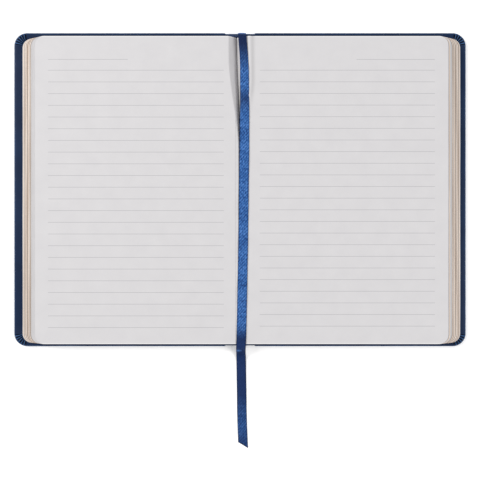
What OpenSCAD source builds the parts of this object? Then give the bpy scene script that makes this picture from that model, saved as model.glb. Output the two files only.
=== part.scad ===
/* [Cover] */
// Height of each cover, head to tail
cover_h = 216; // [200:1:230]
// Width of each cover, from its joint edge to its fore-edge
cover_w = 145.4; // [144:0.1:152]
// Radius of the two outer corners of each cover
cover_corner_r = 9; // [5:0.5:14]
// Thickness of the grey board inside each cover
board_t = 2; // [1.8:0.1:2.2]
// Thickness of the covering leather
leather_t = 0.3; // [0.2:0.05:0.35]
// Width of the leather folded in over the inside of the board
turn_in_w = 15; // [10:1:20]
// Margin of leather left showing around the endpaper on the inside
endpaper_inset = 6.5; // [5:0.5:9]
// Thickness of the endpaper glued to the inside of the cover
endpaper_t = 0.2; // [0.1:0.05:0.25]

/* [Spine] */
// Distance between the two cover boards when the book lies open
board_gap = 20.6; // [20:0.1:24]
// Width of the stiff strip inside the spine
spine_board_w = 12.6; // [10:0.2:14]
// Thickness of the stiff strip inside the spine
spine_board_t = 1.8; // [1.5:0.1:1.8]
// Height of the hinge line above the table
hinge_z = 1.5; // [1.4:0.05:1.6]
// Radius of the rounded leather bead along each hinge line
bead_r = 1.2; // [0.8:0.05:1.2]

/* [Text block] */
// Height of a page
page_h = 209.2; // [196:0.1:210]
// Width of a page from its fold to its fore-edge
leaf_w = 143.4; // [140:0.1:145]
// Radius of the two outer corners of each page
page_corner_r = 6.35; // [3:0.05:10]
// Flat stretch of each leaf, beyond the bend at its fold
flat_w = 138; // [136:0.5:138]
// Thickness of one folded section of eight leaves
section_t = 0.82; // [0.6:0.01:0.82]
// Air between neighbouring sections
section_gap = 0.06; // [0.05:0.01:0.1]
// Thickness of one leaf
leaf_t = 0.11; // [0.08:0.01:0.13]
// How far the block sits towards the tail of the covers
tail_shift = 0.8; // [0:0.1:2]

/* [Opening] */
// Sideways step of the fore-edge for each millimetre of height, halved
fan_ratio = 0.764; // [0.7:0.002:0.785]
// How far the left half is drawn in and the right half let out, halved
side_pull = 0.5; // [0:0.05:0.5]

/* [Ribbon] */
// Width of the marker ribbon
ribbon_w = 6.6; // [4:0.1:7]
// Thickness of the marker ribbon in its solid
ribbon_t = 0.5; // [0.4:0.05:0.5]

/* [Hidden] */

$fn = 48;
leather_color = "#1f3560";
board_color = "#8d8578";
paper_color = "#dfdddf";
gilt_color = "#d9c4a8";
cloth_color = "#e9e4d6";
ribbon_color = "#2a55a0";

// Thin sheets glued over the inside of the spine, and the air under the block
lining_t = 0.2;
cloth_t = 0.2;
block_air = 0.1;

// Levels above the table
board_z = leather_t;
turn_in_z = board_z + board_t;
endpaper_z = turn_in_z + leather_t;
lining_z = leather_t + spine_board_t;
cloth_z = lining_z + lining_t;
folds_z = cloth_z + cloth_t;
block_z = endpaper_z + endpaper_t + block_air;

// Plan sizes
joint_x = board_gap / 2;
hinge_inset = 1.3;
hinge_x = joint_x - hinge_inset;
cover_y = cover_h / 2;
head_y = page_h / 2 - tail_shift;
tail_y = -page_h / 2 - tail_shift;
sections_a_side = 7;
half_section_t = section_t / 2;
flyleaf_t = 0.13;
section_pitch = section_t + section_gap;
block_half = 6.98;
centre_gap = 0.32;
block_x = block_half + centre_gap;

// Inside of the covers: the cut-out in the turn-in, and the air beside the endpaper
window_r = 2;
cut_over = 1;
endpaper_air = 0.1;

// How far each strip in the spine stops short of the cover's or the page's ends
spine_leather_inset = 1.2;
spine_board_inset = 1;
lining_inset = 1;
cloth_tail_inset = 8;
cloth_ribbon_gap = 4;

// Folds, stitches and end bands
edge_gap = 0.05;
fold_h_max = 4.9;
fold_air = 1.2;
stitch_l = 36;
stitch_pitch = 50;
thread_r = 0.2;
band_w = 13;
band_h = 2.6;
band_t = 0.4;
band_bead_r = 0.8;

// Length of ribbon glued down inside the spine
ribbon_glued = 22;
// Centre line of the ribbon from where it leaves the spine at the head to its free end
ribbon_route = [
    [1.2, 106, 2.4], [1.2, 106.5, 2.5], [1.2, 107, 3.2], [1.2, 107.2, 4.4], [1.2, 107.2, 6],
    [1.3, 106.9, 7.8], [1.3, 106.2, 9.2], [1.4, 104.8, 10], [1.6, 103, 10.15], [2, 98, 10.15],
    [2.5, 92, 10.15], [2.9, 84, 10.15], [3.1, 72, 10.15], [3.2, 60, 10.15], [3.1, 44, 10.15],
    [3, 28, 10.15], [2.8, 12, 10.15], [2.6, -4, 10.15], [2.4, -20, 10.15], [2.2, -36, 10.15],
    [1.9, -52, 10.15], [1.6, -68, 10.15], [1.3, -84, 10.15], [1, -98, 10.15], [0.8, -104, 10.15],
    [0.7, -106.5, 10.15], [0.6, -108.4, 9.4], [0.6, -110, 7.6], [0.6, -111.5, 5.2], [0.7, -113.5, 2.8],
    [0.8, -117, 1], [0.9, -122, 0.4], [1, -130, 0.3], [1.2, -141, 0.3], [1.3, -152, 0.3],
    [1.6, -163, 0.3], [2.1, -175.5, 0.3]
];

function section_name(i) = str("section_", i < 10 ? "0" : "", i);
// Height of the middle of the section at one level above the cover, above the bottom of the block
function section_mid(level) = flyleaf_t + section_gap + section_pitch * (level - 1) + section_t / 2;
centre_bottom = flyleaf_t + section_gap + section_pitch * sections_a_side;
leaf_bottom = centre_bottom + half_section_t + section_gap;

// How far a leaf's turning line stands above the bottom of the block; side is -1 left, 1 right
function pole_rise(h, side) = fan_ratio * h - side * side_pull;
// Where the flat stretch of a leaf at height h starts, so that all fore-edges are level when closed
function flat_start(h, side) = side * (block_x - 2 * pole_rise(h, side) + leaf_w - flat_w);

// A panel with its straight edge at x = near and two round corners at x = far
module panel(near, far, low, high, r) {
    side = far > near ? 1 : -1;
    span = abs(far - near);
    translate([near, 0]) mirror([side < 0 ? 1 : 0, 0]) {
        translate([0, low]) square([span - r, high - low]);
        translate([0, low + r]) square([span, high - low - 2 * r]);
        for (y = [low + r, high - r]) translate([span - r, y]) circle(r);
    }
}

module layer(z, t) {
    translate([0, 0, z]) linear_extrude(t) children();
}

// Leather wrapped round a board: outer face, edge walls and turn-in
module cover_leather(side) {
    far = side * (joint_x + cover_w);
    inner = far - side * leather_t;
    window = far - side * turn_in_w;
    color(leather_color) difference() {
        layer(0, endpaper_z) panel(side * joint_x, far, -cover_y, cover_y, cover_corner_r);
        layer(board_z, board_t)
            panel(side * (joint_x - cut_over), inner, -cover_y + leather_t, cover_y - leather_t,
                cover_corner_r - leather_t);
        layer(turn_in_z - cut_over / 2, leather_t + cut_over)
            panel(side * (joint_x - cut_over), window, -cover_y + turn_in_w, cover_y - turn_in_w, window_r);
    }
}

module cover_board(side) {
    far = side * (joint_x + cover_w - leather_t);
    color(board_color) layer(board_z, board_t)
        panel(side * joint_x, far, -cover_y + leather_t, cover_y - leather_t,
            cover_corner_r - leather_t);
}

// Endpaper glued down over the turn-in, with the filler sheet inside the turn-in
module pastedown(side) {
    far = side * (joint_x + cover_w);
    color(paper_color) {
        layer(endpaper_z, endpaper_t)
            panel(side * (joint_x + endpaper_air), far - side * endpaper_inset,
                -cover_y + endpaper_inset, cover_y - endpaper_inset, page_corner_r);
        layer(turn_in_z, leather_t)
            panel(side * (joint_x + endpaper_air), far - side * turn_in_w,
                -cover_y + turn_in_w, cover_y - turn_in_w, window_r);
    }
}

// Flat stretch of a stack of leaves, bottom at height h above the block's base
module leaves(h, t, side, mid) {
    start = flat_start(mid, side);
    layer(block_z + h, t)
        panel(start, start + side * flat_w, tail_y + edge_gap, head_y - edge_gap, page_corner_r);
}

module flyleaf(side) {
    color(paper_color) leaves(0, flyleaf_t, side, flyleaf_t / 2);
}

module section(level, side) {
    mid = section_mid(level);
    color(gilt_color) leaves(mid - section_t / 2, section_t, side, mid);
}

module centre_half(side) {
    color(paper_color)
        leaves(centre_bottom, half_section_t, side, centre_bottom + half_section_t / 2);
}

module turning_leaf() {
    color("white") leaves(leaf_bottom, leaf_t, -1, leaf_bottom + leaf_t / 2);
}

module spine_board() {
    color(board_color) layer(board_z, spine_board_t)
        translate([-spine_board_w / 2, -cover_y + spine_board_inset])
            square([spine_board_w, cover_h - 2 * spine_board_inset]);
}

// Leather across the back, with a rounded bead on each hinge line
module spine_leather() {
    leather_h = cover_h - 2 * spine_leather_inset;
    web = bead_r / 2;
    color(leather_color) {
        translate([-hinge_x - web, -leather_h / 2, 0])
            cube([2 * (hinge_x + web), leather_h, leather_t]);
        for (side = [-1, 1]) translate([side * hinge_x, leather_h / 2, 0]) {
            translate([-web, -leather_h, 0]) cube([2 * web, leather_h, hinge_z]);
            translate([0, 0, hinge_z]) rotate([90, 0, 0]) cylinder(r = bead_r, h = leather_h);
        }
    }
}

module spine_lining() {
    color(cloth_color) translate([-spine_board_w / 2, tail_y + lining_inset, lining_z])
        cube([spine_board_w, page_h - 2 * lining_inset, lining_t]);
}

// Open-weave cloth glued over the folds, cut short at the head to make room for the ribbon
module mull_cloth() {
    cloth_h = page_h - cloth_tail_inset - ribbon_glued - cloth_ribbon_gap;
    color(cloth_color) translate([-spine_board_w / 2, tail_y + cloth_tail_inset, cloth_z])
        cube([spine_board_w, cloth_h, cloth_t]);
}

// Height at which a standing fold ends, below the leaves that bend away over it
function fold_top(x) =
    let (bend_z = block_z + (block_x + leaf_w - flat_w - 2 * side_pull - x) / (2 * fan_ratio))
    min(block_z + fold_h_max, bend_z - fold_air);

// Folded backs of the sections, standing side by side on the spine
module section_folds() {
    color(paper_color) for (i = [-sections_a_side : sections_a_side]) {
        x = i * section_pitch;
        top = fold_top(abs(x) + section_t / 2);
        translate([x - section_t / 2, tail_y + edge_gap, folds_z])
            cube([section_t, page_h - edge_gap, top - folds_z]);
    }
}

// Long stitches of thread lying in the fold of the centre section
module sewing_thread() {
    color("white") for (i = [-1.5 : 1 : 1.5])
        translate([0, i * stitch_pitch + stitch_l / 2, fold_top(section_t / 2) + thread_r])
            rotate([90, 0, 0]) cylinder(r = thread_r, h = stitch_l);
}

// Woven band at one end of the folds: a flat tape with a round bead along its top
module end_band() {
    color(ribbon_color) translate([-band_w / 2, 0, 0]) {
        cube([band_w, band_t, band_h]);
        translate([0, band_bead_r, band_h]) rotate([0, 90, 0]) cylinder(r = band_bead_r, h = band_w);
    }
}

module headband() {
    translate([0, head_y, folds_z]) end_band();
}

module tailband() {
    translate([0, tail_y + edge_gap, folds_z]) mirror([0, 1, 0]) end_band();
}

// End of the ribbon glued flat between the spine lining and the folds
module ribbon_glued_end() {
    exit = ribbon_route[0];
    color(ribbon_color) translate([exit.x - ribbon_w / 2, exit.y - ribbon_glued, cloth_z])
        cube([ribbon_w, ribbon_glued, cloth_t]);
}

// Section across the ribbon: a flat strip with bevelled edges, in halves of its width and thickness
ribbon_profile = [
    for (p = [[-1, -0.5], [-0.8, -1], [0.8, -1], [1, -0.5], [1, 0.5], [0.8, 1], [-0.8, 1], [-1, 0.5]])
        [p.x * ribbon_w / 2, p.y * ribbon_t / 2]
];

function unit(v) = v / norm(v);
function along(route, i) =
    unit(route[min(i + 1, len(route) - 1)] - route[max(i - 1, 0)]);

// One ring of points round the route, its width kept level
function ring(route, i) =
    let (
        t = along(route, i),
        flat = unit([1, 0, 0] - t * t.x),
        up = cross(flat, t)
    ) [for (p = ribbon_profile) route[i] + flat * p.x + up * p.y];

module ribbon_marker() {
    sides = len(ribbon_profile);
    rings = len(ribbon_route);
    points = [for (i = [0 : rings - 1]) each ring(ribbon_route, i)];
    skin = [
        for (i = [0 : rings - 2]) for (k = [0 : sides - 1])
            let (a = i * sides, n = (k + 1) % sides) [a + k, a + n, a + sides + n, a + sides + k]
    ];
    start_cap = [for (k = [sides - 1 : -1 : 0]) k];
    end_cap = [for (k = [0 : sides - 1]) (rings - 1) * sides + k];
    color(ribbon_color) polyhedron(points, concat([start_cap], skin, [end_cap]));
}

spine_board();
spine_leather();
spine_lining();
mull_cloth();
section_folds();
sewing_thread();
headband();
tailband();
ribbon_glued_end();
ribbon_marker();
cover_leather(-1);  // front_cover_leather
cover_board(-1);  // front_board
pastedown(-1);  // front_pastedown
flyleaf(-1);  // front_flyleaf
cover_leather(1);  // back_cover_leather
cover_board(1);  // back_board
pastedown(1);  // back_pastedown
flyleaf(1);  // back_flyleaf
for (i = [1 : 7]) section(i, -1);
centre_half(-1);  // section_08_left
centre_half(1);  // section_08_right
for (i = [9 : 15]) section(16 - i, 1);
turning_leaf();
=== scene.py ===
"""Looks of an open hardback ruled journal: leather case, sewn leaves, ruled pages and a satin ribbon."""

import math

import bmesh
import bpy
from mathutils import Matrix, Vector


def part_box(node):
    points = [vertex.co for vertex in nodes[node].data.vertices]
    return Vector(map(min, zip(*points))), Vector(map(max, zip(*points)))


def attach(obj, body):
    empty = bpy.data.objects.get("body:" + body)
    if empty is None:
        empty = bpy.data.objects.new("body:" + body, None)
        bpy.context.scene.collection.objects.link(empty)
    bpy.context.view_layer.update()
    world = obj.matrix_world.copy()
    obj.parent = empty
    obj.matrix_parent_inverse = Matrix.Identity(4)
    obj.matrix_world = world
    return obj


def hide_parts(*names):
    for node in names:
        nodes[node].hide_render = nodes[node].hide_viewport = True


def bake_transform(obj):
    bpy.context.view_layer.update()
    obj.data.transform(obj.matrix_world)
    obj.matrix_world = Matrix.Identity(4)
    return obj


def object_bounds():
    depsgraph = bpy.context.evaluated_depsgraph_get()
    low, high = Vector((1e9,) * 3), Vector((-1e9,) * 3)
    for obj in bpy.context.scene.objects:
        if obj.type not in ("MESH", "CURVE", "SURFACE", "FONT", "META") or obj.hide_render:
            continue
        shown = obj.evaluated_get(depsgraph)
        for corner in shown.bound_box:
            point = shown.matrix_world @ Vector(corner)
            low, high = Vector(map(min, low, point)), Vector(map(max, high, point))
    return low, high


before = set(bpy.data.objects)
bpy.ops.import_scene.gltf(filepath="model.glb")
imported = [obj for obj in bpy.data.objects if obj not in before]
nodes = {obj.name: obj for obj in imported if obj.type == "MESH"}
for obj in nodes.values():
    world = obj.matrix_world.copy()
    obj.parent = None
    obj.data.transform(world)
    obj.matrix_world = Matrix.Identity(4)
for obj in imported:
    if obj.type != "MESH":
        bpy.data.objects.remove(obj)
cad_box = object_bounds()

MM = 0.001
# Texture coordinates: one unit is this many millimetres
UV_MM = 100.0


def low(node):
    """Lowest corner of a CAD node in millimetres."""
    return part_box(node)[0] / MM


def high(node):
    """Highest corner of a CAD node in millimetres."""
    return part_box(node)[1] / MM


# ---------------------------------------------------------------- sizes, in millimetres
COVER_X = high("back_cover_leather").x
COVER_Y = high("back_cover_leather").y
COVER_TOP = high("back_cover_leather").z
# Radius of the covers' outer corners, as in the CAD
COVER_R = 9.0
JOINT_X = low("back_cover_leather").x
LEATHER_T = low("back_board").z
SPINE_BOARD_X = high("spine_board").x
SPINE_TOP = high("spine_board").z + LEATHER_T
# How far the spine's leather stops short of the covers' head and tail
SPINE_END_INSET = 0.4 * (COVER_Y - high("spine_leather").y)

BLOCK_Z = low("front_flyleaf").z
FOLDS_Z = low("section_folds").z
HEAD_Y = high("section_08_left").y
TAIL_Y = low("section_08_left").y
PAGE_MID_Y = (HEAD_Y + TAIL_Y) / 2
PAGE_HALF_Y = (HEAD_Y - TAIL_Y) / 2
# Radius of the pages' outer corners, and the width of a leaf beyond its bend
PAGE_R = 6.35
FLAT_W = 138.0
BLOCK_TOP = high("turning_leaf").z - BLOCK_Z
# Distance of the outermost fold from the middle
BLOCK_X = BLOCK_TOP + 0.05


def height_of(node):
    """Bottom and top of a node above the block's base, in millimetres."""
    return low(node).z - BLOCK_Z, high(node).z - BLOCK_Z


def fan_line(side):
    """Inner and outer end of a flat leaf at height 0, and how far both move out per millimetre of height.

    They are read off the lowest and the highest whole section.
    """
    first, last = ("section_01", "section_07") if side < 0 else ("section_15", "section_09")
    h0 = (low(first).z + high(first).z) / 2 - BLOCK_Z
    h1 = (low(last).z + high(last).z) / 2 - BLOCK_Z
    outer0 = max(abs(low(first).x), abs(high(first).x))
    outer1 = max(abs(low(last).x), abs(high(last).x))
    inner0 = min(abs(low(first).x), abs(high(first).x))
    slope = (outer1 - outer0) / (h1 - h0)
    return inner0 - slope * h0, outer0 - slope * h0, slope


FAN = {-1: fan_line(-1), 1: fan_line(1)}
SECTION_BASE = (low("section_01").z + high("front_flyleaf").z) / 2 - BLOCK_Z
SECTION_PITCH = low("section_02").z - low("section_01").z

# Marker ribbon: its width and the line it follows, as in the CAD
RIBBON_W = 6.6
RIBBON_ROUTE = [
    (1.2, 106, 2.4), (1.2, 106.5, 2.5), (1.2, 107, 3.2), (1.2, 107.2, 4.4), (1.2, 107.2, 6),
    (1.3, 106.9, 7.8), (1.3, 106.2, 9.2), (1.4, 104.8, 10), (1.6, 103, 10.15), (2, 98, 10.15),
    (2.5, 92, 10.15), (2.9, 84, 10.15), (3.1, 72, 10.15), (3.2, 60, 10.15), (3.1, 44, 10.15),
    (3, 28, 10.15), (2.8, 12, 10.15), (2.6, -4, 10.15), (2.4, -20, 10.15), (2.2, -36, 10.15),
    (1.9, -52, 10.15), (1.6, -68, 10.15), (1.3, -84, 10.15), (1, -98, 10.15), (0.8, -104, 10.15),
    (0.7, -106.5, 10.15), (0.6, -108.4, 9.4), (0.6, -110, 7.6), (0.6, -111.5, 5.2), (0.7, -113.5, 2.8),
    (0.8, -117, 1), (0.9, -122, 0.4), (1, -130, 0.3), (1.2, -141, 0.3), (1.3, -152, 0.3),
    (1.6, -163, 0.3), (2.1, -175.5, 0.3),
]

# Printed rules, in millimetres, fitted to their rows in the photo: -1 is the left page, 1 the right page
RULE_TOP_Y = {-1: 80.47, 1: 80.54}
RULE_STEP = {-1: 7.937, 1: 7.897}
RULE_COUNT = 23
RULE_W = 0.3
RULE_BLUR = 0.03
HEADER_Y = 87.84
RULE_INNER = {-1: 11.0, 1: 13.4}
RULE_OUTER = {-1: 130.3, 1: 132.3}
HEADER_INNER = {-1: 76.1, 1: 79.1}


def smooth(t):
    """0 to 1 with level ends."""
    t = min(max(t, 0.0), 1.0)
    return t * t * (3 - 2 * t)


def wobble(a, b):
    """A small repeatable unevenness between -1 and 1."""
    coarse = math.sin(a * 12.9898 + 1.7) * 0.5
    middling = math.sin(b * 0.061 + a * 4.1) * 0.35
    return coarse + middling + math.sin(b * 0.23 + a) * 0.15


# ---------------------------------------------------------------- camera and stage
def make_camera():
    """The photo's view: from straight above, a little towards the tail of the book's middle."""
    distance = 0.5
    view_w = 0.3322
    sensor_w = 36.0
    towards_tail = 0.0009
    data = bpy.data.cameras.new("camera")
    data.sensor_width = sensor_w
    data.lens = sensor_w * distance / view_w
    camera = bpy.data.objects.new("camera", data)
    middle_y = (cad_box[0][1] + cad_box[1][1]) / 2
    camera.location = (0.0, middle_y - towards_tail, distance)
    bpy.context.scene.collection.objects.link(camera)
    bpy.context.scene.camera = camera


def area_light(name, place, size, power, color=(1, 1, 1)):
    """A square light aimed at the middle of the book."""
    data = bpy.data.lights.new(name, "AREA")
    data.shape = "SQUARE"
    data.size = size
    data.energy = power
    data.color = color
    light = bpy.data.objects.new(name, data)
    light.location = place
    light.rotation_euler = (-Vector(place)).to_track_quat("-Z", "Y").to_euler()
    bpy.context.scene.collection.objects.link(light)


def make_stage(material):
    """A pale floor just under the book, an even white world and two soft lights."""
    reach = 4.0
    floor_z = -0.0002
    corners = [(-reach, -reach), (reach, -reach), (reach, reach), (-reach, reach)]
    mesh = bpy.data.meshes.new("floor")
    mesh.from_pydata([(x, y, floor_z) for x, y in corners], [], [(0, 1, 2, 3)])
    mesh.materials.append(material)
    floor = bpy.data.objects.new("floor", mesh)
    bpy.context.scene.collection.objects.link(floor)
    world = bpy.data.worlds.new("studio")
    bpy.context.scene.world = world
    world.use_nodes = True
    background = world.node_tree.nodes["Background"]
    background.inputs["Color"].default_value = (1.0, 1.0, 1.0, 1.0)
    background.inputs["Strength"].default_value = 0.5
    area_light("key", place=(-1.15, 0.5, 0.95), size=0.8, power=17.5, color=(1.0, 0.995, 0.985))
    area_light("fill", place=(1.1, -0.3, 1.15), size=0.9, power=11.5)
    scene = bpy.context.scene
    scene.view_settings.view_transform = "Standard"
    scene.view_settings.look = "None"


# ---------------------------------------------------------------- node helpers
class Graph:
    """A material's nodes, with short calls that return output sockets."""

    def __init__(self, name):
        self.material = bpy.data.materials.new(name)
        self.material.use_nodes = True
        self.tree = self.material.node_tree
        self.shader = self.tree.nodes["Principled BSDF"]

    def node(self, kind, **settings):
        made = self.tree.nodes.new(kind)
        for key, value in settings.items():
            setattr(made, key, value)
        return made

    def link(self, source, target):
        self.tree.links.new(source, target)

    def put(self, socket, value):
        if isinstance(value, bpy.types.NodeSocket):
            self.link(value, socket)
        else:
            socket.default_value = value

    def math(self, operation, *values):
        made = self.node("ShaderNodeMath", operation=operation)
        for socket, value in zip(made.inputs, values):
            self.put(socket, value)
        return made.outputs[0]

    def times(self, first, *others):
        """The product of all the values."""
        for other in others:
            first = self.math("MULTIPLY", first, other)
        return first

    def plus(self, first, *others):
        """The sum of all the values."""
        for other in others:
            first = self.math("ADD", first, other)
        return first

    def apart(self, a, b):
        """The distance between two values."""
        return self.math("ABSOLUTE", self.math("SUBTRACT", a, b))

    def wave(self, value, period):
        """A sine of the value, between -1 and 1."""
        return self.math("SINE", self.times(value, 2 * math.pi / period))

    def uv(self, layer):
        made = self.node("ShaderNodeUVMap", uv_map=layer)
        return made.outputs["UV"]

    def object_point(self):
        return self.node("ShaderNodeTexCoord").outputs["Object"]

    def split(self, vector):
        made = self.node("ShaderNodeSeparateXYZ")
        self.link(vector, made.inputs[0])
        return made.outputs

    def scaled(self, vector, x, y, z):
        made = self.node("ShaderNodeMapping")
        self.link(vector, made.inputs["Vector"])
        made.inputs["Scale"].default_value = (x, y, z)
        return made.outputs[0]

    def noise(self, vector, scale, detail=3.0, roughness=0.5):
        made = self.node("ShaderNodeTexNoise")
        self.link(vector, made.inputs["Vector"])
        made.inputs["Scale"].default_value = scale
        made.inputs["Detail"].default_value = detail
        made.inputs["Roughness"].default_value = roughness
        return made.outputs["Fac"]

    def cells(self, vector, scale, feature="F1"):
        made = self.node("ShaderNodeTexVoronoi", feature=feature)
        self.link(vector, made.inputs["Vector"])
        made.inputs["Scale"].default_value = scale
        return made.outputs["Distance"]

    def ramp(self, value, *stops):
        made = self.node("ShaderNodeValToRGB")
        self.link(value, made.inputs["Fac"])
        elements = made.color_ramp.elements
        while len(elements) < len(stops):
            elements.new(0.5)
        for element, (place, color) in zip(elements, stops):
            element.position = place
            element.color = (*color, 1.0)
        return made.outputs["Color"]

    def range(self, value, a, b, c, d):
        """Takes a to c and b to d, held level beyond them."""
        made = self.node("ShaderNodeMapRange")
        self.link(value, made.inputs["Value"])
        for name, number in zip(("From Min", "From Max", "To Min", "To Max"), (a, b, c, d)):
            made.inputs[name].default_value = number
        return made.outputs["Result"]

    def mix(self, factor, a, b, blend="MIX"):
        made = self.node("ShaderNodeMix", data_type="RGBA", blend_type=blend)
        self.put(made.inputs["Factor"], factor)
        for socket, value in ((made.inputs[6], a), (made.inputs[7], b)):
            self.put(socket, value if isinstance(value, bpy.types.NodeSocket) else (*value, 1.0))
        return made.outputs[2]

    def bump(self, height, distance, strength):
        made = self.node("ShaderNodeBump")
        self.link(height, made.inputs["Height"])
        made.inputs["Distance"].default_value = distance
        made.inputs["Strength"].default_value = strength
        return made.outputs["Normal"]

    def finish(self, color, roughness, normal=None, **fixed):
        self.put(self.shader.inputs["Base Color"], color)
        self.put(self.shader.inputs["Roughness"], roughness)
        if normal is not None:
            self.link(normal, self.shader.inputs["Normal"])
        for name, value in fixed.items():
            self.shader.inputs[name.replace("_", " ")].default_value = value
        return self.material


# ---------------------------------------------------------------- materials
def floor_material():
    """Nearly white, and faintly luminous so that it stays pale away from the lights."""
    g = Graph("pale_floor")
    haze = g.noise(g.object_point(), 3.0, 2.0)
    g.shader.inputs["Emission Color"].default_value = (1.0, 1.0, 1.0, 1.0)
    pale = g.ramp(haze, (0.3, (0.95, 0.95, 0.95)), (0.7, (0.98, 0.98, 0.98)))
    return g.finish(pale, 0.7, Emission_Strength=0.15)


def leather_material():
    """Bonded leather: fine pebble grain; painted shade in its crevices and gather hollows, painted highlight
    on the very edge and gather crests.
    """
    g = Graph("navy_leather")
    point = g.object_point()
    warp = g.noise(point, 220.0, 2.0)
    pebble = g.cells(point, 1500.0, "DISTANCE_TO_EDGE")
    fine = g.noise(point, 2600.0, 3.0, 0.6)
    patches = g.noise(point, 45.0, 4.0, 0.55)
    grain = g.plus(g.times(pebble, 1.6), g.times(fine, 0.5))
    height = g.plus(grain, g.times(warp, 0.6))
    gather, inset, _ = g.split(g.uv("edge"))
    # Painted highlight along the very edge and on the crests of the gathers, painted shade in their hollows
    painted_edge_and_pleat_light = g.plus(g.range(inset, 0.0, 0.016, 0.3, 0.0), g.range(gather, 0.0, 1.0, -0.75, 0.75))
    even = g.range(patches, 0.3, 0.7, 0.44, 0.57)
    base = g.ramp(g.plus(even, painted_edge_and_pleat_light), (0.0, (0.001, 0.003, 0.011)), (0.45, (0.0056, 0.0155, 0.046)),
                  (0.62, (0.009, 0.0245, 0.069)), (1.0, (0.05, 0.12, 0.27)))
    # Painted shade in the crevices between the pebbles
    painted_crease_shading = g.range(pebble, 0.0, 0.12, 0.72, 1.0)
    color = g.mix(1.0, base, g.ramp(painted_crease_shading, (0.0, (0.55, 0.55, 0.6)), (1.0, (1, 1, 1))), "MULTIPLY")
    rough = g.range(fine, 0.3, 0.7, 0.42, 0.56)
    return g.finish(color, rough, g.bump(height, 0.00006, 0.8), Specular_IOR_Level=0.12)


def paper_parts(g):
    """Fibre mottling in colour and height, shared by the plain and the ruled paper."""
    point = g.uv("plan")
    mottle = g.noise(point, 9.0, 4.0, 0.55)
    fibre = g.noise(g.scaled(point, 1.0, 1.6, 1.0), 420.0, 3.0, 0.6)
    color = g.ramp(mottle, (0.25, (0.6, 0.588, 0.6)), (0.75, (0.628, 0.616, 0.626)))
    speck = g.ramp(fibre, (0.35, (0.965, 0.965, 0.965)), (0.6, (1, 1, 1)))
    return g.mix(1.0, color, speck, "MULTIPLY"), g.bump(fibre, 0.00002, 0.5)


def printed(g, off):
    """1 on a printed line and 0 beside it, from the distance to the line's middle in millimetres."""
    return g.range(off, RULE_W / 2 - RULE_BLUR, RULE_W / 2 + RULE_BLUR, 1.0, 0.0)


def ruled_material(side):
    """Paper printed with full rules and one short header rule, with a painted highlight along its head and
    tail.

    The right page also has a soft shade beside the ribbon near the head, placed to match the photo.
    """
    g = Graph("ruled_paper_left" if side < 0 else "ruled_paper_right")
    color, normal = paper_parts(g)
    x, y, _ = g.split(g.uv("plan"))
    x_mm = g.times(g.math("ABSOLUTE", x), UV_MM)
    y_mm = g.times(y, UV_MM)
    step = RULE_STEP[side]
    rows = g.math("DIVIDE", g.math("SUBTRACT", RULE_TOP_Y[side] + step / 2, y_mm), step)
    line = printed(g, g.times(g.apart(g.math("FRACT", rows), 0.5), step))
    in_rows = g.times(g.math("GREATER_THAN", rows, 0.0), g.math("LESS_THAN", rows, float(RULE_COUNT)))
    outer = g.math("LESS_THAN", x_mm, RULE_OUTER[side])
    inside = g.times(outer, g.math("GREATER_THAN", x_mm, RULE_INNER[side]))
    full = g.times(line, in_rows, inside)
    header_line = printed(g, g.apart(y_mm, HEADER_Y))
    header = g.times(header_line, outer, g.math("GREATER_THAN", x_mm, HEADER_INNER[side]))
    ink = g.times(g.math("MAXIMUM", full, header), 0.45)
    # Painted highlight along the page's head and tail edges
    painted_rim_highlight = g.range(g.apart(y_mm, PAGE_MID_Y), PAGE_HALF_Y - 0.9, PAGE_HALF_Y - 0.35, 0.0, 1.0)
    color = g.mix(painted_rim_highlight, color, (0.74, 0.73, 0.735))
    if side > 0:
        foot = g.range(y_mm, 54.0, 72.0, 6.6, 8.6)
        beside = g.range(g.apart(x_mm, foot), 0.2, 2.2, 1.0, 0.0)
        shade = g.times(beside, g.range(y_mm, 52.0, 66.0, 0.0, 0.8))
        color = g.mix(shade, color, (0.5, 0.49, 0.5))
    return g.finish(g.mix(ink, color, (0.18, 0.18, 0.2)), 0.75, normal, Specular_IOR_Level=0.25)


def paper_material():
    g = Graph("plain_paper")
    color, normal = paper_parts(g)
    return g.finish(color, 0.75, normal, Specular_IOR_Level=0.25)


def between_sections(g, w):
    """0 in the middle of a section's edge, 1 where it meets the next section."""
    part = g.math("FRACT", g.math("DIVIDE", g.math("SUBTRACT", w, SECTION_BASE), SECTION_PITCH))
    return g.times(g.apart(part, 0.5), 2.0)


def leaf_streaks(g, across, along):
    """The height in the block, and streaks along the leaves. across and along say how fine they are."""
    w, y, _ = g.split(g.uv("edge"))
    streak = g.node("ShaderNodeCombineXYZ")
    g.link(g.times(w, across), streak.inputs[0])
    g.link(g.times(y, along), streak.inputs[1])
    return w, g.noise(streak.outputs[0], 1.0, 2.0, 0.6)


def edge_material():
    """Pale gold edge of a closed block: each leaf a little lighter or darker, with painted shade between
    sections.
    """
    g = Graph("gilt_edge")
    w, leaf = leaf_streaks(g, 26.0, 0.9)
    speck = g.noise(g.object_point(), 1800.0, 2.0)
    tone = g.plus(g.times(leaf, 0.85), g.times(speck, 0.15))
    color = g.ramp(tone, (0.3, (0.66, 0.53, 0.43)), (0.5, (0.84, 0.73, 0.63)), (0.7, (0.98, 0.91, 0.84)))
    gaps = between_sections(g, w)
    # Painted shade where one section meets the next
    painted_gap_shade = g.ramp(gaps, (0.25, (1, 1, 1)), (0.5, (0.52, 0.46, 0.44)), (0.8, (0.12, 0.085, 0.08)))
    color = g.mix(1.0, color, painted_gap_shade, "MULTIPLY")
    return g.finish(color, g.range(speck, 0.3, 0.7, 0.38, 0.55), g.bump(leaf, 0.00004, 0.6), Metallic=0.15)


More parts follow.
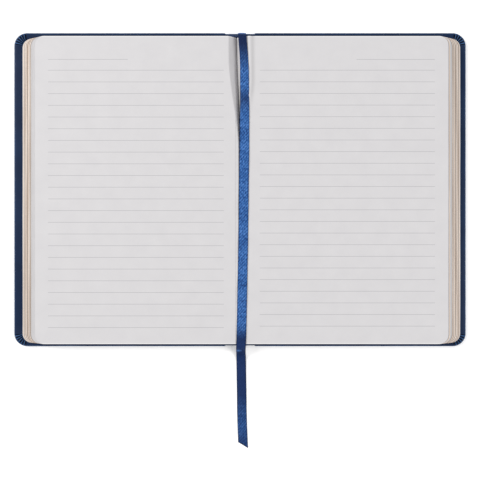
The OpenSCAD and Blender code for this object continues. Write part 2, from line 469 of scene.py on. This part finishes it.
def white_edge_material():
    """Paper seen at its cut edge, greyed with painted shade: the fine grey lines of the leaves, darker where
    sections meet.
    """
    g = Graph("paper_edge")
    w, leaf = leaf_streaks(g, 30.0, 0.5)
    # The grey of the cut edge and its lines between the leaves is painted shade
    color = g.ramp(leaf, (0.3, (0.42, 0.4, 0.39)), (0.6, (0.66, 0.64, 0.64)))
    # Painted shade where one section meets the next
    painted_gap_shade = g.ramp(between_sections(g, w), (0.35, (1, 1, 1)), (0.85, (0.3, 0.27, 0.27)))
    color = g.mix(1.0, color, painted_gap_shade, "MULTIPLY")
    return g.finish(color, 0.8, g.bump(leaf, 0.00004, 0.5))


def ribbon_material():
    """Satin ribbon: a diagonal twill over fine ribs, with darker selvages.

    The lighter and darker stretches along it are painted sheen, highlights and shade, placed to match the
    photo.
    """
    g = Graph("satin_ribbon")
    across, along, _ = g.split(g.uv("plan"))
    _, place, _ = g.split(g.uv("edge"))
    x_mm = g.times(across, UV_MM)
    run_mm = g.times(along, UV_MM)
    y_mm = g.times(place, UV_MM)
    picks = g.wave(run_mm, 0.34)
    ends = g.wave(x_mm, 0.3)
    twill = g.wave(g.plus(g.times(x_mm, 1.1), run_mm), 2.2)
    cloud = g.noise(g.scaled(g.uv("plan"), 1.0, 0.6, 1.0), 95.0, 3.0, 0.6)
    slow = g.noise(g.scaled(g.uv("plan"), 0.4, 1.0, 1.0), 11.0, 2.0)
    lit = g.plus(g.times(cloud, 0.75), g.times(twill, 0.065), g.times(slow, 0.28))
    # Where the painted sheen lies: the flat stretch over the pages and a stretch near the tip
    on_page = g.range(y_mm, -101.5, -92.0, 0.0, 1.0)
    at_head = g.range(y_mm, 98.0, 78.0, 0.0, 1.0)
    # Less painted sheen over the wrinkle, as painted shade
    wrinkle = g.range(g.apart(y_mm, 60.5), 1.5, 9.0, 0.35, 1.0)
    painted_tip_sheen = g.times(g.range(y_mm, -142.0, -160.0, 0.0, 0.5), g.range(y_mm, -172.0, -165.0, 0.4, 1.0))
    # Painted highlight where the ribbon bends over the tail edge
    bend = g.range(g.apart(y_mm, -110.0), 0.4, 1.2, 0.8, 0.0)
    painted_crease_shading = g.times(bend, g.range(x_mm, -0.5, 0.8, 1.0, 0.0))
    # Painted highlight on the bend over the head
    painted_crown_highlight = g.range(y_mm, 104.7, 105.4, 0.0, 0.9)
    flat = g.times(on_page, at_head, wrinkle)
    painted_sheen_mask = g.math("MAXIMUM", g.math("MAXIMUM", flat, painted_tip_sheen), g.math("MAXIMUM", painted_crease_shading, painted_crown_highlight))
    # Lit and shaded copies of the satin: painted sheen where the mask is high, painted shade elsewhere
    painted_sheen_tone = g.ramp(lit, (0.39, (0.01, 0.046, 0.18)), (0.52, (0.028, 0.113, 0.345)),
                    (0.67, (0.09, 0.225, 0.56)))
    painted_shade_tone = g.ramp(lit, (0.3, (0.0045, 0.018, 0.072)), (0.7, (0.011, 0.034, 0.13)))
    color = g.mix(painted_sheen_mask, painted_shade_tone, painted_sheen_tone)
    # Painted shade on the stretch sloping down from the head
    painted_head_shade = g.times(g.range(y_mm, 84.0, 100.0, 0.0, 0.5), g.range(y_mm, 104.7, 105.4, 1.0, 0.0))
    color = g.mix(painted_head_shade, color, (0.003, 0.008, 0.034))
    selvage = g.range(g.math("ABSOLUTE", x_mm), RIBBON_W / 2 - 0.75, RIBBON_W / 2 - 0.45, 1.0, 0.62)
    grey = g.node("ShaderNodeCombineXYZ")
    for socket in grey.inputs:
        g.link(selvage, socket)
    color = g.mix(1.0, color, grey.outputs[0], "MULTIPLY")
    weave = g.plus(picks, g.times(ends, 0.5), g.times(twill, 0.7))
    normal = g.bump(weave, 0.00003, 0.9)
    return g.finish(color, g.range(cloud, 0.3, 0.7, 0.3, 0.46), normal, Specular_IOR_Level=0.12)


def cloth_material(name, light, dark, pitch):
    """Plain weave of round threads, pitch in millimetres, with painted highlight on the threads' crowns and
    painted shade between them.
    """
    g = Graph(name)
    x, y, z = g.split(g.object_point())
    warp = g.math("ABSOLUTE", g.wave(x, pitch * MM))
    weft = g.math("ABSOLUTE", g.wave(g.plus(y, z), pitch * MM))
    height = g.times(warp, weft)
    fuzz = g.noise(g.object_point(), 900.0, 3.0)
    # Painted light on the threads' crowns and painted shade in the hollows between them
    tone = g.plus(g.times(height, 0.7), g.times(fuzz, 0.3))
    color = g.ramp(tone, (0.2, dark), (0.7, light))
    return g.finish(color, 0.85, g.bump(height, 0.0001, 0.6), Sheen_Weight=0.2)


def board_material():
    """Grey millboard: pressed fibres with darker flecks."""
    g = Graph("grey_board")
    fibre = g.noise(g.scaled(g.object_point(), 1.0, 0.4, 1.0), 700.0, 4.0, 0.65)
    fleck = g.cells(g.object_point(), 500.0)
    tone = g.plus(g.times(fibre, 0.8), g.times(fleck, 0.2))
    color = g.ramp(tone, (0.3, (0.17, 0.15, 0.125)), (0.7, (0.34, 0.3, 0.25)))
    return g.finish(color, 0.9, g.bump(fibre, 0.00005, 0.6))


# ---------------------------------------------------------------- mesh helpers
# Edges sharper than this many degrees stay sharp
SHARP_DEG = 38


def make_piece(name, verts, faces, slots, materials, plan, edge=None):
    """A mesh piece from millimetre points; plan and edge are texture points, one for each vertex."""
    mesh = bpy.data.meshes.new(name)
    mesh.from_pydata([Vector(v) * MM for v in verts], [], faces)
    for material in materials:
        mesh.materials.append(material)
    mesh.polygons.foreach_set("material_index", slots)
    for layer, points in (("plan", plan), ("edge", edge or plan)):
        data = mesh.uv_layers.new(name=layer).data
        for loop in mesh.loops:
            data[loop.index].uv = points[loop.vertex_index]
    mesh.polygons.foreach_set("use_smooth", [True] * len(mesh.polygons))
    mesh.update()
    mesh.set_sharp_from_angle(angle=math.radians(SHARP_DEG))
    piece = bpy.data.objects.new(name, mesh)
    bpy.context.scene.collection.objects.link(piece)
    return piece


def outward(piece):
    """Fills what is open, and turns every face outward."""
    work = bmesh.new()
    work.from_mesh(piece.data)
    open_edges = [e for e in work.edges if e.is_boundary]
    if open_edges:
        bmesh.ops.holes_fill(work, edges=open_edges, sides=0)
    bmesh.ops.recalc_face_normals(work, faces=work.faces)
    work.to_mesh(piece.data)
    work.free()
    return piece


# ---------------------------------------------------------------- leaves
# How wide the gutter stands open at the head, how far down from there it reaches and how fast it closes
GUTTER = {-1: (6.6, 80.0, 1.2), 1: (4.6, 60.0, 1.5)}
# How far left of the middle the centre fold lies at the head, and how far down it comes back to the middle
VALLEY = 2.2
VALLEY_REACH = 70.0
# The shift begins at height VALLEY_H above the block's base, and is full 0.2 below the top leaf
VALLEY_H = 3.0
VALLEY_SPAN = BLOCK_TOP - 3.2
# The right half's fold is moved left by this, so that no dark slot opens between the halves
RIGHT_TUCK = 0.24
# The lowest leaf's fold lies FOLD_LIFT above the underside of the CAD's folds, and the top leaf's
# another FOLD_RISE above that
FOLD_LIFT = 0.15
FOLD_RISE = 2.45
# Nearest to the middle that a leaf may be flat
FLAT_MIN_X = 1.2
# How much an open gutter shortens the end of a leaf's bend, and how much it flattens its start
REACH_PER_GAP = {-1: 1.15, 1: 0.75}
STEEP_PER_GAP = {-1: 0.13, 1: 0.0}


def opened(side, y):
    """How far the gutter stands open, in millimetres, widest at the head."""
    wide, reach, rate = GUTTER[side]
    return wide * smooth(rate * (1 - (HEAD_Y - y) / reach))


def valley(y):
    """How far left of the middle the two halves of the centre fold meet, in millimetres."""
    return VALLEY * smooth(1 - (HEAD_Y - y) / VALLEY_REACH)


# Height of the arch beside the ribbon, in millimetres
ARCH = 0.8


def arch(side, x, y, share):
    """Rise of the right page beside the ribbon near the head: steep up to a crest, then gently down."""
    if side < 0:
        return 0.0
    crest = 6.9 - 1.4 * smooth((y - 72.0) / 30.0)
    tall = ARCH * smooth((y - 54.0) / 16.0) * share**6
    if x < crest:
        return tall * smooth((x - crest + 0.8) / 0.8)
    return tall * (1 - smooth((x - crest) / 3.8))


def cubic(u):
    """Weights of a curve's start, its direction there, its end and its direction there, for u from 0 to 1."""
    return 2 * u**3 - 3 * u**2 + 1, u**3 - 2 * u**2 + u, -2 * u**3 + 3 * u**2, u**3 - u**2


def leaf_point(side, h, s, y, flat_end):
    """A point of a leaf at height h above the block's base.

    s is -1 at the leaf's fold, 0 where its bend ends and 1 at its fore-edge.
    """
    inner, outer, slope = FAN[side]
    share = h / BLOCK_TOP
    gap = opened(side, y) * share
    x0 = BLOCK_X - h - side * valley(y) * smooth((h - VALLEY_H) / VALLEY_SPAN)
    if side > 0:
        x0 -= RIGHT_TUCK * share**12
    z0 = FOLDS_Z + FOLD_LIFT + FOLD_RISE * share**8
    x1 = max(inner + slope * h, FLAT_MIN_X) + gap
    z1 = BLOCK_Z + h
    if s >= 0:
        x = x1 + (outer + slope * h + flat_end - x1) * s
        return side * x, z1 + arch(side, x, y, share)
    u = 1 + s
    start, start_way, end, end_way = cubic(u)
    lean = 0.8 * gap
    reach = max(1.5, 2.4 + 1.1 * (x1 - x0) - REACH_PER_GAP[side] * gap)
    x = start * x0 + start_way * lean + end * x1 + end_way * reach
    steep = 1.25 - STEEP_PER_GAP[side] * gap
    z = start * z0 + start_way * steep * (z1 - z0) + end * z1
    return side * x, z + arch(side, x, y, share) * smooth(u)


# The turning leaf starts this far from the middle, and bends over this width as it turns
LEAF_ROOT = 3.0


def root_of(side, h, y):
    """Where along a leaf it is LEAF_ROOT from the middle, as the s of leaf_point."""
    near, far = -1.0, 0.5
    for _ in range(24):
        middle = (near + far) / 2
        if abs(leaf_point(side, h, middle, y, 0)[0]) < LEAF_ROOT:
            near = middle
        else:
            far = middle
    return near


def from_root(s, root):
    """The same place along a leaf that starts at root instead of at its fold."""
    join = max(0.0, root + 0.002)
    return root + (s + 1) * (join - root) if s < 0 else join + s * (1 - join)


def leaf_columns(arched):
    """Places along a leaf, as the s of leaf_point, with the half height of the leaf at each.

    They lie closer together beside the gutter where the leaf is arched.
    """
    bend = [-1 + i / 12 for i in range(12)]
    bend += [0.003 * i for i in range(22)] if arched else [0.0, 0.006, 0.013, 0.03]
    flat = [0.08, 0.2, 0.35, 0.5, 0.65, 0.8, 0.9]
    corner = [1 - PAGE_R / FLAT_W * (1 - math.sin(math.radians(a))) for a in range(0, 91, 10)]
    columns = []
    for s in bend + flat + corner:
        into_corner = (s - (1 - PAGE_R / FLAT_W)) * FLAT_W
        half = PAGE_HALF_Y
        if into_corner > 0:
            round_y = math.sqrt(max(PAGE_R**2 - min(into_corner, PAGE_R) ** 2, 0))
            half = PAGE_HALF_Y - PAGE_R + round_y
        columns.append((s, half))
    return columns


# Rows of faces from tail to head
ROWS = 34
# Unevenness of the leaves' fore-edges, and how far the outer leaves of a stack step back, in millimetres
UNEVEN = 0.12
ROUNDING = 0.4


def leaf_stack(name, side, h0, h1, groups, body, replaced, materials, tread_slot=1):
    """A stack of leaves from h0 to h1, curved down to its fold.

    groups says how many leaves lie flush, from the bottom up. tread_slot is the material of the narrow
    steps between groups: 0 for the page's and 1 for the edge's.
    """
    columns = leaf_columns(name == "section_08_right_leaves")
    n = len(columns)
    total = sum(groups)
    layers = []
    done = 0
    slope = FAN[side][2]
    middle = (h0 + h1) / 2
    for count in groups:
        low_h = h0 + (h1 - h0) * done / total
        done += count
        high_h = h0 + (h1 - h0) * done / total
        centre = (low_h + high_h) / 2
        bulge = -ROUNDING * (2 * (centre - middle) / (h1 - h0)) ** 2 if len(groups) > 1 else 0.0
        for h in (low_h, high_h):
            layers.append((h, slope * (centre - h) + bulge, centre))
    verts, plan, edge = [], [], []

    def add(h, shift, centre, column, t):
        s, half = columns[column]
        y = PAGE_MID_Y + t * half
        jitter = UNEVEN * wobble(centre * 3.1 + side, y) if s > 0.9 else 0.0
        if body == "turning_leaf":
            s = from_root(s, root_of(side, h, y))
        x, z = leaf_point(side, h, s, y, shift + jitter)
        verts.append((x, y, z))
        plan.append((x / UV_MM, y / UV_MM))
        edge.append((h, (y + abs(x)) / UV_MM))
        return len(verts) - 1

    ring_at = [(i, -1.0) for i in range(n)]
    ring_at += [(n - 1, -1 + 2 * j / ROWS) for j in range(1, ROWS)]
    ring_at += [(i, 1.0) for i in reversed(range(n))]
    rings = [[add(h, shift, centre, i, t) for i, t in ring_at] for h, shift, centre in layers]

    def sheet(layer, ring):
        """Faces of a whole leaf inside its ring, and the points along its fold."""
        h, shift, centre = layer
        grid = [[0] * (ROWS + 1) for _ in range(n)]
        for index, (i, t) in zip(ring, ring_at):
            grid[i][round((t + 1) / 2 * ROWS)] = index
        for i in range(n - 1):
            for j in range(1, ROWS):
                grid[i][j] = add(h, shift, centre, i, -1 + 2 * j / ROWS)
        return [(grid[i][j], grid[i + 1][j], grid[i + 1][j + 1], grid[i][j + 1])
                for i in range(n - 1) for j in range(ROWS)], grid[0]

    faces, bottom_fold = sheet(layers[0], rings[0])
    top, top_fold = sheet(layers[-1], rings[-1])
    faces += top
    slots = [0] * len(faces)
    for k in range(len(rings) - 1):
        tread = k % 2 == 1
        for a in range(len(ring_at) - 1):
            faces.append((rings[k][a], rings[k][a + 1], rings[k + 1][a + 1], rings[k + 1][a]))
            slots.append(tread_slot if tread else 1)
    for j in range(ROWS):
        left = [ring[0] for ring in rings] if j == 0 else None
        right = [ring[-1] for ring in rings] if j == ROWS - 1 else None
        loop = [bottom_fold[j + 1], bottom_fold[j]]
        loop += left[1:-1] if left else []
        loop += [top_fold[j], top_fold[j + 1]]
        loop += list(reversed(right[1:-1])) if right else []
        faces.append(tuple(loop))
        slots.append(0)
    piece = outward(make_piece(name, verts, faces, slots, materials, plan, edge))
    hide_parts(*replaced)
    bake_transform(piece)


# ---------------------------------------------------------------- leather case
def case_height(x):
    """Thickness of the case at a distance from the middle of the spine: board, joint groove, spine strip."""
    groove = 2.1
    if x <= SPINE_BOARD_X:
        return SPINE_TOP
    if x >= JOINT_X + 0.3:
        return COVER_TOP
    down = smooth((x - SPINE_BOARD_X) / 0.9)
    up = smooth((x - JOINT_X + 0.6) / 0.9)
    return max(SPINE_TOP * (1 - down) + groove * down, groove * (1 - up) + COVER_TOP * up)


def case_columns():
    """Distances from the spine's middle with the half height of the case there."""
    xs = [0, 2, 4, 5.4, 6.0, 6.3, 6.6, 6.9, 7.3, 7.7, 8.1, 8.5, 8.9, 9.3, 9.7, 10.0, 10.3, 10.7, 11.2, 13]
    xs += [18, 30, 45, 60, 75, 90, 105, 120, 132, 141]
    columns = []
    for x in xs:
        inset = SPINE_END_INSET * (1 - smooth((x - JOINT_X + 0.5) / 0.8))
        columns.append((x, COVER_Y - inset, (0.0, 1.0)))
    for k in range(0, 45):
        a = math.radians(k * 90 / 44)
        x = COVER_X - COVER_R + COVER_R * math.sin(a)
        columns.append((x, COVER_Y - COVER_R + COVER_R * math.cos(a), (math.sin(a), math.cos(a))))
    return columns


def hinge_crease(x):
    """Shallow groove pressed into the outside of the case along each hinge."""
    return 0.55 * math.exp(-(((x - HINGE_X) / 0.75) ** 2))


# Height of the gathers at a corner
PLEAT = 0.6
HINGE_X = JOINT_X - 1.3
# How far the leather is turned in, and how far at a corner; the change takes CORNER_EASE along each edge
TURN_IN = 15.0
CORNER_TURN_IN = 8.2
CORNER_EASE = 14
# Within this distance of the edge the rings are not drawn together at a corner
EDGE_W = 3
# Rings of the case as (distance in from the edge, share of the thickness), from inside round the edge
CASE_OUTSIDE = [
    (15, 1), (10, 1), (7, 1), (5.5, 1), (4.2, 1), (3.2, 1), (2.3, 1), (1.5, 0.985), (0.85, 0.94),
    (0.35, 0.84), (0.08, 0.68), (0, 0.5), (0.08, 0.32), (0.35, 0.16), (0.85, 0.06), (1.5, 0.015), (2.6, 0),
]
CASE_INSIDE = [(2.6, 0), (0.6, 0), (0.6, 1), (6, 1), (15, 1)]


def at_corner(nx, ny):
    """Whether an edge that faces this way is part of a rounded corner."""
    return nx > 0.001 and abs(ny) > 0.001


def leather_case(name, side, replaced, material):
    """One half of the leather case, from the middle of the spine round the board to its turned-in edges."""
    columns = case_columns()
    n = len(columns)
    rows = 30
    straight_end = COVER_Y - COVER_R
    ring_at = [(x, -half, (nx, -ny)) for x, half, (nx, ny) in columns]
    ring_at += [(COVER_X, -straight_end + 2 * straight_end * j / rows, (1.0, 0.0)) for j in range(1, rows)]
    ring_at += list(reversed(columns))
    verts, edge = [], []

    def pleat(nx, ny, inset):
        """Gathers of leather folded in round a corner."""
        if not at_corner(nx, ny):
            return 0.0
        angle = math.degrees(math.atan2(nx, abs(ny)))
        shape = 0.5 - 0.5 * math.cos(2 * math.pi * (angle / 90 * 6 + 0.12 * math.sin(angle * 0.4)))
        fade = smooth((inset - 0.25) / 0.9) * smooth((angle + 6) / 10) * smooth((96 - angle) / 10)
        return PLEAT * (0.5 - shape) * fade

    def turn_in(x, y, nx, ny):
        """How far the leather is turned in at a point of the edge."""
        if nx > 0.999:
            near = smooth(1 - (straight_end - abs(y)) / CORNER_EASE)
        elif at_corner(nx, ny):
            near = 1.0
        else:
            near = smooth((x - (COVER_X - COVER_R - CORNER_EASE)) / CORNER_EASE)
        return TURN_IN - (TURN_IN - CORNER_TURN_IN) * near

    def place(point, inset, share, under):
        """Adds the point that lies inset from the edge, on the case's outside or on its under layer."""
        x, y, (nx, ny) = point
        limit = turn_in(x, y, nx, ny)
        depth = inset
        if inset >= EDGE_W:
            depth = EDGE_W + (inset - EDGE_W) * (limit - EDGE_W) / (TURN_IN - EDGE_W)
        tall = case_height(x - nx * depth)
        z = share * tall if not under else (LEATHER_T if share == 0 else tall - LEATHER_T)
        gather = 0.0
        if share > 0.9 and not under:
            gather = pleat(nx, ny, depth)
            z += gather + 0.03 * wobble(x * 0.11, y * 3.0) * smooth(depth / 3)
        if share < 0.1:
            z += hinge_crease(x - nx * depth)
        verts.append((side * (x - nx * depth), y - ny * depth, z))
        edge.append((0.5 + gather / PLEAT, depth / UV_MM))
        return len(verts) - 1

    rings = [[place(p, inset, share, False) for p in ring_at] for inset, share in CASE_OUTSIDE]
    inside = [[place(p, inset, share, True) for p in ring_at] for inset, share in CASE_INSIDE]

    def wall(first, second):
        """Faces between two rings."""
        return [(first[a], first[a + 1], second[a + 1], second[a]) for a in range(len(ring_at) - 1)]

    def plate(ring):
        """Fills the middle of a ring: rows of points between each foot point and the head point above it."""
        foot = ring[:n]
        fore = ring[n - 1:n + rows]
        head = list(reversed(ring[n + rows - 1:]))
        grid = [[foot[k]] for k in range(n - 1)]
        for k in range(n - 1):
            a, b = Vector(verts[foot[k]]), Vector(verts[head[k]])
            for j in range(1, rows):
                verts.append(tuple(a.lerp(b, j / rows)))
                edge.append((0.5, 0.2))
                grid[k].append(len(verts) - 1)
            grid[k].append(head[k])
        grid.append(fore)
        return [(grid[k][j], grid[k + 1][j], grid[k + 1][j + 1], grid[k][j + 1])
                for k in range(n - 1) for j in range(rows)]

    faces = []
    for first, second in zip(rings, rings[1:]):
        faces += wall(first, second)
    faces += plate(rings[-1])
    for first, second in zip(inside, inside[1:]):
        faces += wall(first, second)
    faces += plate(inside[0])
    faces += wall(inside[-1], rings[0])
    plan = [(v[0] / UV_MM, v[1] / UV_MM) for v in verts]
    piece = outward(make_piece(name, verts, faces, [0] * len(faces), [material], plan, edge))
    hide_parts(*replaced)
    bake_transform(piece)


# ---------------------------------------------------------------- boards
# How far the boards stay inside the case's edges, and how much their own edges are eased
BOARD_INSET = 0.9
BOARD_BEVEL = 0.4


def outline(near, far, half, r):
    """Points round a panel whose two corners at far are rounded, counter-clockwise for a positive far."""
    arc = [math.radians(a) for a in range(0, 91, 6)]
    points = [(near, -half)]
    points += [(far - r + r * math.sin(a), -half + r - r * math.cos(a)) for a in arc]
    points += [(far - r + r * math.cos(a), half - r + r * math.sin(a)) for a in arc]
    return points + [(near, half)]


def make_board(name, node, side, near, far, half, r, body, material):
    """A grey board with its edges eased, a little smaller than the leather folded round it."""
    z0, z1 = low(node).z, high(node).z
    levels = [(z0, BOARD_BEVEL), (z0 + BOARD_BEVEL, 0), (z1 - BOARD_BEVEL, 0), (z1, BOARD_BEVEL)]
    verts, faces = [], []
    rings = []
    for z, cut in levels:
        points = outline(near + cut, far - cut, half - cut, max(r - cut, 0.05))
        rings.append(range(len(verts), len(verts) + len(points)))
        verts += [(side * x, y, z) for x, y in points]
    n = len(rings[0])
    for a, b in zip(rings, rings[1:]):
        faces += [(a[k], a[(k + 1) % n], b[(k + 1) % n], b[k]) for k in range(n)]
    faces += [tuple(reversed(rings[0])), tuple(rings[-1])]
    plan = [(v[0] / UV_MM, v[1] / UV_MM) for v in verts]
    piece = outward(make_piece(name, verts, faces, [0] * len(faces), [material], plan))
    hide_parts(node)
    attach(piece, body)


# ---------------------------------------------------------------- ribbon and bands
def route_points(route, most):
    """A smooth line through the route's points, with up to most steps to each stretch."""
    points = [Vector(p) for p in route]
    out = []
    for i in range(len(points) - 1):
        before, a, b = points[max(i - 1, 0)], points[i], points[i + 1]
        after = points[min(i + 2, len(points) - 1)]
        steps = max(2, min(most, round((b - a).length / 0.7)))
        for k in range(steps):
            u = k / steps
            out.append(0.5 * (2 * a + (b - before) * u + (2 * before - 5 * a + 4 * b - after) * u**2
                              + (3 * a - before - 3 * b + after) * u**3))
    out.append(points[-1])
    return out


# The ribbon's thickness, and how far its bend over the head is tucked in from its route
RIBBON_T = 0.3
HEAD_TUCK = 0.7
# The slanted free end: how many of the last rings lean, how far one side is drawn out against the other,
# and how far the other is drawn back
SLANT_RINGS = 8
SLANT = 4.4
SLANT_BACK = 0.9
# Texture place of the hidden stretch behind the head, which gets the same painted highlight as the bend above
# it
HIDDEN_PLACE = 1.06


def make_ribbon(material):
    """The marker ribbon: a thin strip, lightly cupped, thinner at its selvages and cut on a slant."""
    line = route_points(RIBBON_ROUTE, 14)
    across = [-1, -0.97, -0.9, -0.8, -0.6, -0.35, 0, 0.35, 0.6, 0.8, 0.9, 0.97, 1]
    back_across = list(reversed(across))[1:-1]
    verts, plan, edge = [], [], []
    rings = []
    run = 0.0
    end = len(line) - 1
    for i, p in enumerate(line):
        before, after = line[max(i - 1, 0)], line[min(i + 1, end)]
        run += (p - before).length
        t = (after - before).normalized()
        flat = (Vector((1, 0, 0)) - t * t.x).normalized()
        up = flat.cross(t)
        lying = smooth((p.y + 108) / 6) * smooth((104 - p.y) / 10)
        ripple = 0.05 * lying * math.sin(p.y * 1.9) + 0.12 * lying * math.sin(p.y * 0.21 + 0.6)
        wrinkle = 0.3 * math.exp(-(((p.y - 63) / 3.2) ** 2))
        ripple += wrinkle
        wide = RIBBON_W / 2 * (1 - 0.15 * smooth((p.y - 25) / 85))
        p = p - Vector((0, HEAD_TUCK * smooth((p.y - 104) / 2.5), 0))
        lean = max(0, i - (end - SLANT_RINGS)) / SLANT_RINGS
        ring = []
        for face, places in ((1, across), (-1, back_across)):
            for a in places:
                thin = 1 - 0.55 * abs(a) ** 6
                cup = 0.18 * (a * a - 0.4)
                z = face * RIBBON_T / 2 * thin + cup + ripple * (1 - 0.4 * a)
                slant = (SLANT * ((a + 1) / 2) ** 2.2 - SLANT_BACK) * lean
                q = p + flat * (a * wide) + up * z + t * slant
                ring.append(len(verts))
                verts.append(tuple(q))
                plan.append((a * wide / UV_MM, run / UV_MM))
                edge.append((a, q.y / UV_MM if p.z > 3 or p.y < 0 else HIDDEN_PLACE))
        rings.append(ring)
    m = len(rings[0])
    faces = []
    for first, second in zip(rings, rings[1:]):
        faces += [(first[k], first[(k + 1) % m], second[(k + 1) % m], second[k]) for k in range(m)]
    faces += [tuple(reversed(rings[0])), tuple(rings[-1])]
    piece = outward(make_piece("ribbon", verts, faces, [0] * len(faces), [material], plan, edge))
    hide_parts("ribbon_marker")
    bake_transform(piece)
    length = sum((b - a).length for a, b in zip(line, line[1:])) * MM
    print("ribbon length", round(length, 4))


def make_band(name, node, toward, materials):
    """A woven end band: thread in two colours wound round a cord along the top of a tape."""
    a, b = low(node), high(node)
    r = 0.8
    tape_t = 0.4
    stripes = 26
    steps_each = 8
    around = 14
    centre_z = b.z - r
    base_y = a.y if toward > 0 else b.y
    centre_y = base_y + toward * r
    verts, faces, slots, plan = [], [], [], []
    steps = stripes * steps_each
    for i in range(steps + 1):
        x = a.x + (b.x - a.x) * i / steps
        swell = r * (0.9 + 0.1 * abs(math.sin(math.pi * i / steps_each)))
        for k in range(around):
            c = 2 * math.pi * k / around
            lean = 0.12 * math.sin(c) if 0 < i < steps else 0.0
            verts.append((x + lean, centre_y + swell * math.cos(c), centre_z + swell * math.sin(c)))
            plan.append((x / UV_MM, c / 6.3))
    for i in range(steps):
        for k in range(around):
            p, q = i * around + k, i * around + (k + 1) % around
            faces.append((p, q, q + around, p + around))
            slots.append((i // steps_each) % 2)
    faces.append(tuple(reversed(range(around))))
    faces.append(tuple(steps * around + k for k in range(around)))
    slots += [0, 0]
    first = len(verts)
    tape_top = centre_z - r * 0.8
    for x in (a.x, b.x):
        for y in (base_y, base_y + toward * tape_t):
            for z in (a.z, tape_top):
                verts.append((x, y, z))
                plan.append((x / UV_MM, z / UV_MM))
    box = [(0, 1, 3, 2), (4, 6, 7, 5), (0, 4, 5, 1), (2, 3, 7, 6), (0, 2, 6, 4), (1, 5, 7, 3)]
    faces += [tuple(first + k for k in f) for f in box]
    slots += [1] * len(box)
    piece = outward(make_piece(name, verts, faces, slots, materials, plan))
    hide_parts(node)
    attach(piece, "spine")


# ---------------------------------------------------------------- the object
make_camera()
make_stage(floor_material())

leather = leather_material()
paper = paper_material()
gilt = edge_material()
white_edge = white_edge_material()
ribbon = ribbon_material()
board = board_material()
mull = cloth_material("mull", (0.62, 0.58, 0.5), (0.25, 0.23, 0.19), 1.1)
lining = cloth_material("kraft_lining", (0.5, 0.4, 0.28), (0.33, 0.25, 0.17), 0.35)
thread = cloth_material("linen_thread", (0.75, 0.72, 0.64), (0.4, 0.37, 0.3), 0.25)
band_blue = cloth_material("band_blue", (0.03, 0.08, 0.26), (0.01, 0.03, 0.1), 0.2)
band_navy = cloth_material("band_navy", (0.02, 0.045, 0.13), (0.006, 0.014, 0.05), 0.2)

make_ribbon(ribbon)
leather_case("front_case_leather", -1, ["front_cover_leather", "spine_leather"], leather)
leather_case("back_case_leather", 1, ["back_cover_leather"], leather)

for side, name in ((-1, "front"), (1, "back")):
    make_board(name + "_board_panel", name + "_board", side, JOINT_X + 0.3, COVER_X - BOARD_INSET,
               COVER_Y - BOARD_INSET, COVER_R - BOARD_INSET, name + "_cover", board)
make_board("spine_board_strip", "spine_board", 1, -SPINE_BOARD_X + 0.2, SPINE_BOARD_X - 0.2,
           COVER_Y - SPINE_END_INSET - BOARD_INSET, 0.5, "spine", board)

# How many leaves lie flush with each other at the fore-edge of a section, from the bottom up
CLOSE_LEAVES = [1] * 8
LOOSE_LEAVES = [3, 3, 2]
CENTRE_LEAVES = [2, 2]
# Sections near the open pages whose edges look white and loose, counted from the covers
LOOSE_LEVELS = {-1: (6, 7), 1: (6,)}
ruled = {}
for side, fly, numbers in ((-1, "front_flyleaf", range(1, 8)), (1, "back_flyleaf", range(15, 8, -1))):
    h0, h1 = height_of(fly)
    leaf_stack(fly + "_sheet", side, h0, h1, [1], fly, [fly], [paper, gilt])
    for level, number in enumerate(numbers, 1):
        node = f"section_{number:02d}"
        h0, h1 = height_of(node)
        loose = level in LOOSE_LEVELS[side]
        groups = LOOSE_LEAVES if loose else CLOSE_LEAVES
        cut_edge = white_edge if loose else gilt
        leaf_stack(node + "_leaves", side, h0, h1, groups, node, [node], [paper, cut_edge], 0 if loose else 1)
    ruled[side] = ruled_material(side)
    middle = "section_08_left" if side < 0 else "section_08_right"
    replaced = [middle, "section_folds"] if side < 0 else [middle]
    h0, h1 = height_of(middle)
    leaf_stack(middle + "_leaves", side, h0, h1, CENTRE_LEAVES, middle, replaced,
               [ruled[side], white_edge], 0)

h0, h1 = height_of("turning_leaf")
leaf_stack("turning_leaf_sheet", -1, h0, h1, [1], "turning_leaf", ["turning_leaf"],
           [ruled[-1], white_edge], 0)

make_band("headband_woven", "headband", 1, [band_blue, band_navy])
make_band("tailband_woven", "tailband", -1, [band_blue, band_navy])

# CAD nodes that are shown as they are, with their materials
FINISHES = {
    "spine_lining": lining, "mull_cloth": mull, "sewing_thread": thread,
    "ribbon_glued_end": band_blue,
    "front_pastedown": paper, "back_pastedown": paper,
}
for name, material in FINISHES.items():
    data = nodes[name].data
    data.materials.clear()
    data.materials.append(material)
